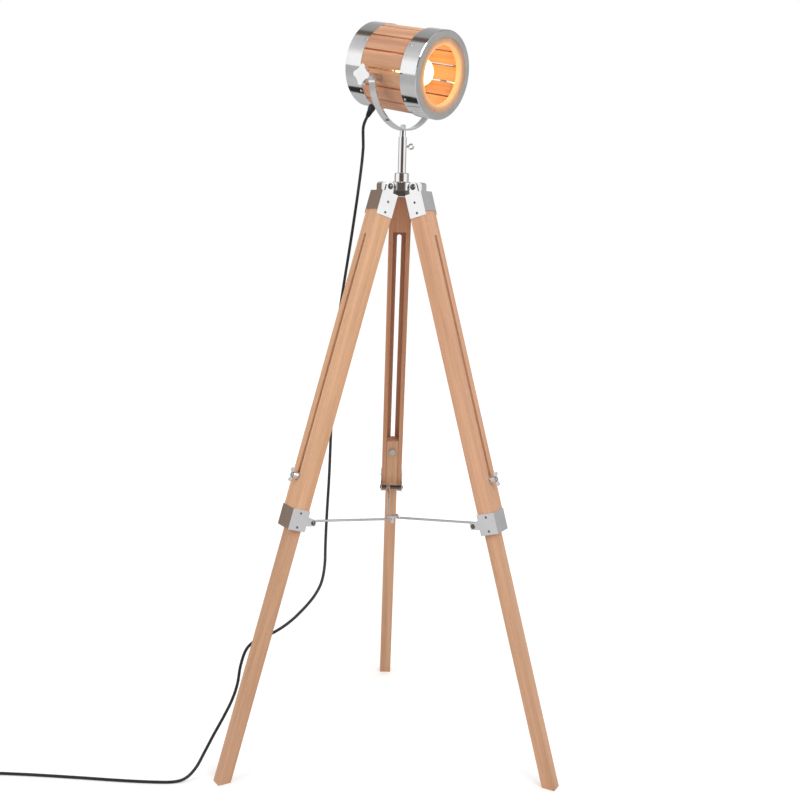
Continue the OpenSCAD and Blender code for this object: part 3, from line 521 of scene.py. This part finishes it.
def strain_relief():
    """A hexagonal nut, and a tapered sleeve with ribs round it."""
    nut = lathe("relief_nut", NUT, RELIEF, plastic, 6)
    ribs = []
    for k in range(RIBS):
        at, r = RIB_FROM + RIB_PITCH * k, RIB_R - RIB_TAPER * k
        ribs += [(r, at), (r, at + RIB_TOP),
                 (r - RIB_DEPTH, at + RIB_SLOPE), (r - RIB_DEPTH, at + GROOVE_END)]
    sleeve = lathe("relief_sleeve", SLEEVE_FOOT + ribs + SLEEVE_TIP, RELIEF, plastic)
    for piece in (nut, sleeve):
        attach(piece, "head")
        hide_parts("gland")


def band_seam():
    """The lapped end of the front band's sheet, one layer more over a short arc."""
    angles = [math.radians(LAP_FROM - LAP_STEP * k) for k in range(LAP_STEPS + 1)]
    rows = [[turned_point(BARREL, r, a, z) for r, z in LAP_SECTION] for a in angles]
    seam = loft("front_band_lap", rows, band_chrome)
    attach(seam, "head")


strain_relief()
band_seam()
paint_faces("plug", steel, lambda p: p.x < (PLUG_X - PLUG_LEN) * MM)

# ---- Floor, light and camera ----

WORLD_LIGHT, FLOOR_NEAR, FLOOR_FAR = 0.55, 0.36, 0.66
# Painted reflection: where the dark patch on the floor lies, and the radii in metres over which it
# fades
DARK_REFLECTION_AT, DARK_REFLECTION_EDGE = (-1.45, 0.75, 0), (0.3, 0.4)
FLOOR_SIZE, FLOOR_GLOW = 30, (0.9, 2.6)
DARK, BROWN, WHITE = (0.10, 0.08, 0.07), (0.26, 0.19, 0.15), grey(1.0)
# What metal sees: round the horizon from azimuth -180 to 180 degrees, and up to the zenith
HORIZON = [(0.0, WHITE), (0.11, WHITE), (0.165, DARK), (0.32, DARK), (0.36, WHITE), (0.47, WHITE),
           (0.53, grey(0.5)), (0.66, grey(0.42)), (0.76, grey(0.7)), (0.86, grey(0.6)),
           (0.89, BROWN), (0.935, BROWN), (0.96, WHITE)]
UPWARDS = [(0.0, WHITE), (0.35, WHITE), (0.55, grey(0.66)), (0.75, grey(0.55)), (1.0, grey(0.5))]
# The photograph's camera: mm from the tripod's axis on the floor, degrees, and pixels
CAMERA_AT, YAW_PITCH_ROLL = (-43.7, -2181.2, 1086.0), (1.388, 9.117, 1.625)
FOCAL_PIXELS, PICTURE_PIXELS = 1089.1, 800


def stage_floor():
    bm = bmesh.new()
    bmesh.ops.create_grid(bm, x_segments=4, y_segments=4, size=FLOOR_SIZE)
    n = Nodes("pale_floor")
    path = n.add("ShaderNodeLightPath").outputs
    seen = n.math("MAXIMUM", path["Is Camera Ray"], path["Is Transmission Ray"])
    seen = n.math("MAXIMUM", seen, n.math("MULTIPLY", path["Is Glossy Ray"], 0.3))
    away = n.vector("LENGTH", n.place(), out="Value")
    dapple = n.noise(n.place(), scale=3, detail=3)
    pale = n.mix(dapple, grey(0.74), grey(0.77))
    # Painted reflection: metal sees a grey floor, with a dark patch painted on it that only
    # reflections show
    case = n.vector("DISTANCE", n.place(), DARK_REFLECTION_AT, out="Value")
    mirrored = n.mix(n.span(case, *DARK_REFLECTION_EDGE), grey(0.02), grey(0.42))
    clear = n.math("MAXIMUM", n.span(case, *DARK_REFLECTION_EDGE),
                   n.math("SUBTRACT", 1.0, path["Is Glossy Ray"]))
    lit = n.math("MULTIPLY", seen, n.span(away, *FLOOR_GLOW, FLOOR_NEAR, FLOOR_FAR))
    n.set(Base_Color=n.mix(path["Is Glossy Ray"], pale, mirrored), Roughness=0.7,
          Emission_Color=(1, 1, 1, 1), Emission_Strength=n.math("MULTIPLY", clear, lit))
    n.shader.inputs["Specular IOR Level"].default_value = 0.1
    mesh_object("floor", bm, n.mat)


def stage_world():
    """White to the eye; metal sees a bright horizon with dark screens, and a greyer ceiling."""
    world = bpy.data.worlds.new("studio")
    bpy.context.scene.world = world
    n = Nodes("studio", world)
    way = n.add("ShaderNodeTexCoord").outputs["Generated"]
    ray = n.add("ShaderNodeSeparateXYZ", {0: way}).outputs
    turn = n.span(n.math("ARCTAN2", ray[1], ray[0]), -math.pi, math.pi)
    metal_sees = n.mix(1.0, n.ramp(turn, HORIZON), n.ramp(ray[2], UPWARDS), blend="MULTIPLY")
    path = n.add("ShaderNodeLightPath").outputs
    n.put(n.mix(path["Is Glossy Ray"], (1, 1, 1), metal_sees), n.shader.inputs["Color"])
    more = n.math("MULTIPLY", path["Is Glossy Ray"], 1 - WORLD_LIGHT)
    strength = n.math("ADD", WORLD_LIGHT, more)
    seen = n.math("MAXIMUM", path["Is Camera Ray"], path["Is Transmission Ray"])
    n.put(n.math("MAXIMUM", strength, seen), n.shader.inputs["Strength"])


def area_light(name, place, aim, size, power, mirrored=True):
    """A soft box of a size in metres and a power in watts, which metal may mirror."""
    data = bpy.data.lights.new(name, "AREA")
    data.shape, data.size, data.size_y, data.energy = "RECTANGLE", size[0], size[1], power
    light = bpy.data.objects.new(name, data)
    light.location = place
    light.rotation_euler = (Vector(aim) - Vector(place)).to_track_quat("-Z", "Y").to_euler()
    light.visible_glossy = mirrored
    bpy.context.scene.collection.objects.link(light)


def stage_camera():
    yaw, pitch, roll = (math.radians(a) for a in YAW_PITCH_ROLL)
    ahead = Vector((math.sin(yaw) * math.cos(pitch), math.cos(yaw) * math.cos(pitch),
                    -math.sin(pitch)))
    right = Vector((math.cos(yaw), -math.sin(yaw), 0))
    up = right.cross(ahead)
    across = right * math.cos(roll) + up * math.sin(roll)
    above = up * math.cos(roll) - right * math.sin(roll)
    data = bpy.data.cameras.new("photo_camera")
    data.sensor_width = 36
    data.lens = FOCAL_PIXELS / PICTURE_PIXELS * data.sensor_width
    data.clip_end = 200
    camera = bpy.data.objects.new("photo_camera", data)
    camera.matrix_world = (Matrix.Translation(AXIS + Vector(CAMERA_AT) * MM)
                           @ Matrix((across, above, -ahead)).transposed().to_4x4())
    bpy.context.scene.collection.objects.link(camera)
    bpy.context.scene.camera = camera


stage_floor()
stage_world()
area_light("key", (1.6, -2.4, 2.6), (0, 0, 0.8), (1.8, 1.8), 42)
area_light("fill", (-2.4, -1.8, 1.8), (0, 0, 0.8), (1.8, 2.2), 26, mirrored=False)
area_light("top", (0.2, 0.6, 3.2), (0, -0.1, 0.6), (2.4, 1.6), 26, mirrored=False)
stage_camera()
bpy.context.scene.view_settings.view_transform = "Standard"
